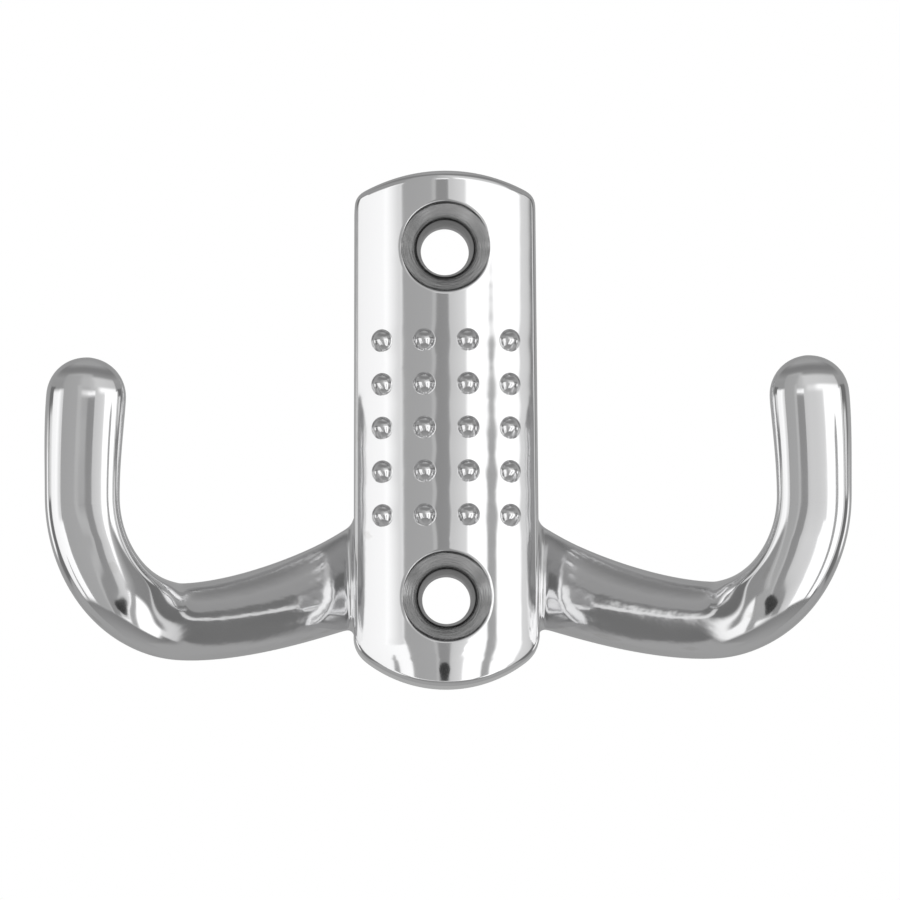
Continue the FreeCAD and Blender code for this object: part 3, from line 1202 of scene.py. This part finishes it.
card_paint, glow, output = glowing_paint("near_card_paint")
clear = card_paint.node_tree.nodes.new("ShaderNodeBsdfTransparent")
fade = card_paint.node_tree.nodes.new("ShaderNodeMixShader")
read_from_corners(card_paint, "brightness", glow.inputs["Strength"])
read_from_corners(card_paint, "solid", fade.inputs["Fac"])
links = card_paint.node_tree.links
links.new(clear.outputs["BSDF"], fade.inputs[1])
links.new(glow.outputs["Emission"], fade.inputs[2])
links.new(fade.outputs["Shader"], output.inputs["Surface"])
print("card paint with", len(card_paint.node_tree.nodes), "nodes")

# %% [markdown]
# The stripes run straight down the plate, but in the bends of the arms they drift apart below the
# horizon. So they lie on a board that comes closer the lower it lies. A flat board would drift by
# the same amount all the way down, so this one is bent. From the plate it lines up with the
# sheets in the tent, and from the arms it is seen from the side.

# %% Bend the board
near_start = Vector((0, -8, -20))
# How far away the board is at each height, in degrees and mm, as seen from the plate's foot.
board_distance = (
    (-58, 76), (-50, 86), (-40, 101), (-31, 121), (-14, 180), (-7, 280), (-2, 400), (2, 490),
)
board_panels = (
    ("left_grey_sheet", (-90, 60), (-40, -6), (-40, -6), (0.42, 0.46), 1.5),
    ("left_sheet_edge", (-90, 60), (-8.5, -6), (-8.5, -6), (0.56, 0.56), 1),
    ("right_grey_sheet", (-90, 60), (3, 15), (3, 15), (0.66, 0.84), 1),
    ("beyond", (-90, 60), (15, 30), (15, 30), (white, white), 1),
    ("camera_gap", (-90, 60), (-6, 3), (-6, 3), (0.31, 0.33), 0.7),
)


def on_board(azimuth, elevation):
    """A point of the board in a direction as seen from the plate's foot, in mm."""
    away = by_height(board_distance, elevation)
    return near_start + Vector((
        away * math.tan(math.radians(azimuth)), -away, away * math.tan(math.radians(elevation)),
    ))


near_card(
    "board", (-31, 16), (-57, 2), on_board,
    lambda azimuth, elevation: tent_light(azimuth, elevation, board_panels),
    lambda azimuth, elevation: smooth(azimuth, -29.8, -28.3) * (1 - smooth(azimuth, 14.2, 15.5))
    * smooth(elevation, -56, -54.5) * (1 - smooth(elevation, 0.5, 2)),
)

# %% [markdown]
# The inner flanks of both bends mirror something grey close in front of the plate, which the plate
# itself doesn't show. One block there would stand in the plate's view. Two thin upright fins back
# to back don't: the plate sees only their edge, and each arm sees the broad side of its own fin.

# %% Stand up the two fins
fin_apart = 0.3
bend_middle = Vector((28, -17, -18))


def fin_point(side):
    """Places a fin's corners by the direction in which one arm's bend sees them."""
    def place(azimuth, elevation):
        away = bend_middle.x / math.sin(math.radians(azimuth))
        ahead = bend_middle.x / math.tan(math.radians(azimuth))
        rise = away * math.tan(math.radians(elevation))
        return Vector((side * fin_apart, bend_middle.y - ahead, bend_middle.z + rise))
    return place


def fin_cover(first):
    """Fades a fin out towards its edges; first is the azimuth at which it begins."""
    def cover(azimuth, elevation):
        inside = smooth(azimuth, first - 2, first + 2) * (1 - smooth(azimuth, 62, 67))
        return inside * smooth(elevation, -41, -36) * (1 - smooth(elevation, 2, 9))
    return cover


left_fin_light = ((0, 0.66), (28, 0.62), (32, 0.48), (36, 0.39), (42, 0.29), (90, 0.26))
right_fin_light = ((0, 0.36), (42, 0.32), (90, 0.30))
near_card("fin_for_left_arm", (24, 68), (-43, 10), fin_point(-1),
          lambda azimuth, elevation: by_height(left_fin_light, azimuth), fin_cover(28))
near_card("fin_for_right_arm", (30, 68), (-43, 10), fin_point(1),
          lambda azimuth, elevation: by_height(right_fin_light, azimuth), fin_cover(36))

# %% [markdown]
# The plate's foot and both bends show one dark spot, low down in the middle, and longer than it is
# wide. A ball primitive, stretched along the board and leaning with it, is seen at the right
# place from all three, because it stands at one real place.

# %% Lay the dark ball on the board
ball_width = 6.0
ball_length = 14.0
ball_lean = math.radians(36)
bpy.ops.mesh.primitive_uv_sphere_add(segments=32, ring_count=16, radius=ball_width * MM)
ball = bpy.context.object
ball.name = "dark_ball"
ball.location = Vector((-1.5, -74, -92)) * MM
ball.scale.y = ball_length / ball_width
ball.rotation_euler.x = ball_lean
ball_paint, glow, output = glowing_paint("dark_ball_paint")
glow.inputs["Strength"].default_value = 0.045
ball_paint.node_tree.links.new(glow.outputs["Emission"], output.inputs["Surface"])
ball.data.materials.append(ball_paint)
for_mirrors_only(ball)

# %% [markdown]
# ## The world and the floor
# The world is plain white at strength 1, for every kind of ray: the camera sees a white
# background, and a plain matt colour is lit so that it shows as it is written. The floor is a pale
# plane that lies below the tent. A curved backdrop would hide its far edge, but the chrome would
# mirror it, so it stays a plain plane, far enough away.

# %% White world, pale floor
floor_width = 3.0
floor_drop = 50 * MM
world = bpy.data.worlds.new("white_studio")
bpy.context.scene.world = world
world.use_nodes = True
world.node_tree.nodes["Background"].inputs["Color"].default_value = (1, 1, 1, 1)
world.node_tree.nodes["Background"].inputs["Strength"].default_value = 1.0

bpy.ops.mesh.primitive_plane_add(size=floor_width, location=(0, 0, -tent_radius - floor_drop))
floor = bpy.context.object
floor.name = "pale_floor"
floor_paint = bpy.data.materials.new("pale_floor_paint")
floor_paint.use_nodes = True
matt = floor_paint.node_tree.nodes["Principled BSDF"]
matt.inputs["Base Color"].default_value = (0.86, 0.86, 0.85, 1)
matt.inputs["Roughness"].default_value = 0.8
floor.data.materials.append(floor_paint)
print("floor", floor_width, "m wide, at", round(floor.location.z, 3), "m")

# %% [markdown]
# ## What polishing reached
# A polisher's wheel reaches the plate and the upright bars, and there the casting is smooth as
# glass. It hardly gets at the pips and at the runs beside the plate, so they keep some of the
# waves of the casting under the chrome. Weight painting by hand would show it too, but a rule of
# the place gives the same on both arms. It is written onto the corners as a number from 0 to 1.

# %% Paint the unpolished places
run_begins, run_ends, run_top = (8, 11), (20, 27), (-8, -4)
plate_half = 8.0
proud_of_face = 0.05
pip_edge = pip_ball + pip_foot
pip_edge_soft = 0.1
pip_share = 0.6


def unpolished_at(x, y, z):
    """How little the wheel reached a place of the casting, from 0 to 1."""
    aside = abs(x)
    run = smooth(aside, *run_begins) * (1 - smooth(aside, *run_ends)) * (1 - smooth(z, *run_top))
    if aside >= plate_half or y >= crown_y(aside) - proud_of_face:
        return run
    near_pip = min(math.hypot(x - pip_x, z - pip_z) for pip_x, pip_z in pip_places)
    return max(run, pip_share * (1 - smooth(near_pip, pip_edge - pip_edge_soft, pip_edge)))


unpolished = [unpolished_at(*(value / MM for value in corner.co)) for corner in casting.data.vertices]
write_on_corners(casting, "unpolished", unpolished)
print("corners not fully polished", sum(value > 0.1 for value in unpolished))

# %% [markdown]
# ## Nodes by name
# A material is a tree of small nodes, and wiring each one by hand fills a page with little sense.
# These helpers each add one kind of node, plug in what they are given, whether a plain value or a
# socket, and hand back the socket that carries the result.

# %% Helpers for nodes
def connect(tree, source, target):
    """Plugs a socket into a socket, or writes a plain number or colour into it."""
    if isinstance(source, (int, float, tuple)):
        target.default_value = source
    else:
        tree.links.new(source, target)


def calculate(tree, operation, first, second=0.0, third=0.0):
    """A Math node; gives its output."""
    node = tree.nodes.new("ShaderNodeMath")
    node.operation = operation
    for socket, value in zip(node.inputs, (first, second, third)):
        connect(tree, value, socket)
    return node.outputs[0]


def noise(tree, place, scale, detail, rough=0.5):
    """A Noise node; gives its factor."""
    node = tree.nodes.new("ShaderNodeTexNoise")
    connect(tree, place, node.inputs["Vector"])
    connect(tree, scale, node.inputs["Scale"])
    connect(tree, detail, node.inputs["Detail"])
    connect(tree, rough, node.inputs["Roughness"])
    return node.outputs["Fac"]


def stretch(tree, value, low, high, to_low=0.0, to_high=1.0):
    """A Map Range node, which also clamps; gives its result."""
    node = tree.nodes.new("ShaderNodeMapRange")
    connect(tree, value, node.inputs["Value"])
    connect(tree, low, node.inputs["From Min"])
    connect(tree, high, node.inputs["From Max"])
    connect(tree, to_low, node.inputs["To Min"])
    connect(tree, to_high, node.inputs["To Max"])
    return node.outputs["Result"]


def mix_colours(tree, share, first, second):
    """A Mix node between two colours; gives the colour."""
    node = tree.nodes.new("ShaderNodeMix")
    node.data_type = "RGBA"
    connect(tree, share, node.inputs["Factor"])
    connect(tree, first, node.inputs["A"])
    connect(tree, second, node.inputs["B"])
    return node.outputs["Result"]


def take_apart(tree, place):
    """The three coordinates of a place, as a list of sockets."""
    node = tree.nodes.new("ShaderNodeSeparateXYZ")
    connect(tree, place, node.inputs["Vector"])
    return list(node.outputs)


def put_together(tree, coordinates):
    """A place from its three coordinates."""
    node = tree.nodes.new("ShaderNodeCombineXYZ")
    for socket, value in zip(node.inputs, coordinates):
        connect(tree, value, socket)
    return node.outputs["Vector"]


# %% [markdown]
# ## Shared effects
# Both metals need the same kinds of detail with different values: waves left by the casting,
# uneven smoothness left by polishing and handling, and edges on which the plating has dulled.
# Copying the nodes into each material would work, but a change would then have to be made twice.
# So each effect is a node group that is built once and placed in each material.

# %% Helpers for node groups
def new_group(name, inputs, output):
    """An empty shader node group: inputs by name and value, None for a place, and one output."""
    group = bpy.data.node_groups.new(name, "ShaderNodeTree")
    for label, value in inputs.items():
        kind = "NodeSocketVector" if value is None else "NodeSocketFloat"
        socket = group.interface.new_socket(label, in_out="INPUT", socket_type=kind)
        if value is not None:
            socket.default_value = value
    group.interface.new_socket(output, in_out="OUTPUT", socket_type="NodeSocketFloat")
    return group, group.nodes.new("NodeGroupInput"), group.nodes.new("NodeGroupOutput")


def place_group(tree, group, **values):
    """A group in a material, with its own values; underscores stand for spaces."""
    node = tree.nodes.new("ShaderNodeGroup")
    node.node_tree = group
    for label, value in values.items():
        connect(tree, value, node.inputs[label.replace("_", " ")])
    return node.outputs[0]


# %% [markdown]
# The wall of a mould is never quite even, and plating follows it. So the chrome has waves of a few
# millimetres, with stronger and finer ones where the wheel didn't reach. They are far lower than
# the faces of the mesh are wide, so they aren't modelled: the group gives a height for a Bump node.

# %% Casting waves
waves, inside, outside = new_group(
    "casting_waves",
    {"Place": None, "Waves": 400.0, "Fine Waves": 900.0, "Unpolished": 0.0, "Extra": 2.0},
    "Height",
)
long_waves = noise(waves, inside.outputs["Place"], inside.outputs["Waves"], 1.0)
fine_waves = noise(waves, inside.outputs["Place"], inside.outputs["Fine Waves"], 2.0)
extra = calculate(waves, "MULTIPLY", inside.outputs["Unpolished"], inside.outputs["Extra"])
strong = calculate(waves, "MULTIPLY", fine_waves, extra)
connect(waves, calculate(waves, "ADD", long_waves, strong), outside.inputs["Height"])
print(waves.name, "with", len(waves.nodes), "nodes")

# %% [markdown]
# Polishing and handling leave soft cloudy patches and hair-fine wiping marks, which make the
# smoothness uneven. The clouds are a slow noise. The hairs are a fine noise that is drawn out
# upwards. Scratches in the height would glitter, so only the roughness changes.

# %% Handling marks
handling, inside, outside = new_group(
    "handling_marks",
    {"Place": None, "Clean": 0.06, "Cloudy": 0.1, "Cloud Scale": 90.0, "Hair Scale": 2500.0,
     "Hair": 0.02, "Unpolished": 0.0, "Unpolished Adds": 0.05},
    "Roughness",
)
clouds = noise(handling, inside.outputs["Place"], inside.outputs["Cloud Scale"], 3.0, 0.6)
roughness = stretch(handling, clouds, 0.4, 0.7, inside.outputs["Clean"], inside.outputs["Cloudy"])
drawn = handling.nodes.new("ShaderNodeVectorMath")
drawn.operation = "MULTIPLY"
drawn.inputs[1].default_value = (1.0, 1.0, 0.08)
connect(handling, inside.outputs["Place"], drawn.inputs[0])
hairs = noise(handling, drawn.outputs["Vector"], inside.outputs["Hair Scale"], 1.0)
hairs = calculate(handling, "MULTIPLY", hairs, inside.outputs["Hair"])
adds = calculate(handling, "MULTIPLY", inside.outputs["Unpolished"], inside.outputs["Unpolished Adds"])
roughness = calculate(handling, "ADD", roughness, hairs)
roughness = calculate(handling, "ADD", roughness, adds)
connect(handling, roughness, outside.inputs["Roughness"])
print(handling.name, "with", len(handling.nodes), "nodes")

# %% [markdown]
# Plating is thinnest on outward edges, and hands rub them most, so they are a little duller. The
# Pointiness of the surface finds such edges, and noise breaks the mask up, because wear is never
# an even line. Painting the edges by hand would be lost with every change of the form. In the
# screw holes the same mask is used to make the edges lighter, as a painted highlight.

# %% Dulled edges
edges, inside, outside = new_group(
    "dulled_edges", {"Place": None, "Break Up Scale": 700.0, "Amount": 0.5}, "Mask",
)
geometry = edges.nodes.new("ShaderNodeNewGeometry")
outward = stretch(edges, geometry.outputs["Pointiness"], 0.53, 0.62)
broken = noise(edges, inside.outputs["Place"], inside.outputs["Break Up Scale"], 3.0, 0.7)
broken = calculate(edges, "MULTIPLY", broken, inside.outputs["Amount"])
connect(edges, calculate(edges, "MULTIPLY", outward, broken), outside.inputs["Mask"])
print(edges.name, "with", len(edges.nodes), "nodes")

# %% [markdown]
# ## The chrome
# The chrome is laid over bright nickel and is a neutral grey mirror. A plain grey metal would do
# from afar, but slight waves and uneven smoothness are what make it look cast and handled. The
# two arms mirror each other, so their pattern is read from the distance to the middle, and it is
# drawn out along the bar, as polishing and casting both leave it.

# %% Mix the chrome
def new_metal(name):
    """A metal material; gives it with its shader."""
    paint = bpy.data.materials.new(name)
    paint.use_nodes = True
    shader = paint.node_tree.nodes["Principled BSDF"]
    shader.inputs["Metallic"].default_value = 1.0
    return paint, shader


def bump_normal(tree, height, distance):
    """A Bump node whose height of 1 stands for a distance in metres; gives its normal."""
    node = tree.nodes.new("ShaderNodeBump")
    node.inputs["Distance"].default_value = distance
    connect(tree, height, node.inputs["Height"])
    return node.outputs["Normal"]


def place_along_the_bar(tree):
    """Object coordinates, mirrored to one arm and drawn out along its run."""
    x, y, z = take_apart(tree, tree.nodes.new("ShaderNodeTexCoord").outputs["Object"])
    drawn_out = tree.nodes.new("ShaderNodeMapping")
    drawn_out.inputs["Rotation"].default_value = (0, 0, sweep)
    drawn_out.inputs["Scale"].default_value = (0.3, 1.0, 1.0)
    one_side = put_together(tree, (calculate(tree, "ABSOLUTE", x), y, z))
    connect(tree, one_side, drawn_out.inputs["Vector"])
    return drawn_out.outputs["Vector"]


chrome, metal = new_metal("chrome_plate")
tree = chrome.node_tree
along_bar = place_along_the_bar(tree)
not_reached = tree.nodes.new("ShaderNodeAttribute")
not_reached.attribute_name = "unpolished"
wave = place_group(
    tree, waves, Place=along_bar, Waves=420.0, Fine_Waves=800.0,
    Unpolished=not_reached.outputs["Fac"], Extra=2.5,
)
marked = place_group(
    tree, handling, Place=along_bar, Clean=0.05, Cloudy=0.085, Cloud_Scale=110.0, Hair_Scale=2400.0,
    Hair=0.03, Unpolished=not_reached.outputs["Fac"], Unpolished_Adds=0.05,
)
dulled = place_group(tree, edges, Place=along_bar, Break_Up_Scale=900.0, Amount=0.5)
tint = mix_colours(tree, dulled, (0.80, 0.80, 0.805, 1), (0.62, 0.61, 0.59, 1))
connect(tree, bump_normal(tree, wave, 0.012 * MM), metal.inputs["Normal"])
connect(tree, calculate(tree, "MULTIPLY_ADD", dulled, 0.10, marked), metal.inputs["Roughness"])
connect(tree, tint, metal.inputs["Base Color"])
print(chrome.name, "with", len(tree.nodes), "nodes")

# %% [markdown]
# ## The duller metal of the screw holes
# The cones of the screw holes took the same plating on a turned surface, so it is duller and
# carries fine rings round the hole. Towards the throat the colour is darkened as painted shade,
# where the hole shades itself. The rings need the distance from the hole's axis. Both holes lie
# equally far from the middle, so one calculation serves both. A texture of rings exists too, but
# it is so regular that it looks printed.

# %% Mix the duller metal of the screw holes
ring_drift = 0.06
# Between these radii, in mm, the colour goes from full painted shade in the throat to the hole's own grey.
throat_shade_full, throat_shade_ends = throat_radius + 0.02, throat_radius + 0.5

sink_metal, metal = new_metal("turned_sink")
tree = sink_metal.node_tree
place = tree.nodes.new("ShaderNodeTexCoord").outputs["Object"]
x, y, z = take_apart(tree, place)
from_axis = calculate(tree, "SUBTRACT", calculate(tree, "ABSOLUTE", z), hole_heights[0] * MM)
across, upwards = calculate(tree, "POWER", x, 2.0), calculate(tree, "POWER", from_axis, 2.0)
squares = calculate(tree, "ADD", across, upwards)
radius = calculate(tree, "SQRT", squares)
rings = put_together(tree, (
    radius, calculate(tree, "MULTIPLY", x, ring_drift), calculate(tree, "MULTIPLY", z, ring_drift),
))
turned = place_group(tree, waves, Place=rings, Waves=12000.0, Fine_Waves=3000.0, Unpolished=1.0, Extra=0.3)
marked = place_group(
    tree, handling, Place=place, Clean=0.16, Cloudy=0.24, Cloud_Scale=500.0, Hair_Scale=2400.0,
    Hair=0.05, Unpolished=0.0, Unpolished_Adds=0.0,
)
dulled = place_group(tree, edges, Place=place, Break_Up_Scale=1500.0, Amount=0.8)
# Painted shade: the colour is darkened towards the throat and down the bore, where the hole shades itself.
inwards = stretch(tree, radius, throat_shade_full * MM, throat_shade_ends * MM)
painted_throat_shade = mix_colours(tree, inwards, (0.20, 0.20, 0.20, 1), (0.74, 0.74, 0.74, 1))
# Painted highlight: in the holes the edge mask mixes the outward edges to a lighter grey than the metal
# round them.
tint = mix_colours(tree, dulled, painted_throat_shade, (0.84, 0.84, 0.84, 1))
connect(tree, bump_normal(tree, turned, 0.016 * MM), metal.inputs["Normal"])
connect(tree, marked, metal.inputs["Roughness"])
connect(tree, tint, metal.inputs["Base Color"])
print(sink_metal.name, "with", len(tree.nodes), "nodes")

# %% [markdown]
# The casting is one mesh with two metals, so each of its faces gets the number of its own. The
# faces inside the screw holes could be picked by hand. Here they are found by how near the axis
# of a hole they lie and by standing off the wall, so that the flat back keeps its chrome. Then the
# piece is tied to the part: it rides on the body and takes the place of the CAD's own casting.

# %% Give each face its metal
within_sink = sink_radius - 0.02
off_wall = 0.1
casting.data.materials.clear()
casting.data.materials.append(chrome)
casting.data.materials.append(sink_metal)
turned_faces = 0
for face in casting.data.polygons:
    x, y, z = (value / MM for value in face.center)
    if from_nearest_hole(x, z) < within_sink and y < -off_wall:
        face.material_index = 1
        turned_faces += 1
print("faces in the screw holes", turned_faces)
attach(casting, "root")
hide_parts("hook_casting")

# %% [markdown]
# ## Closing
# The Standard view shows a white of 1 as plain white, as in a product photograph, where the usual
# one would turn it grey.

# %% Finish
bpy.context.scene.view_settings.view_transform = "Standard"
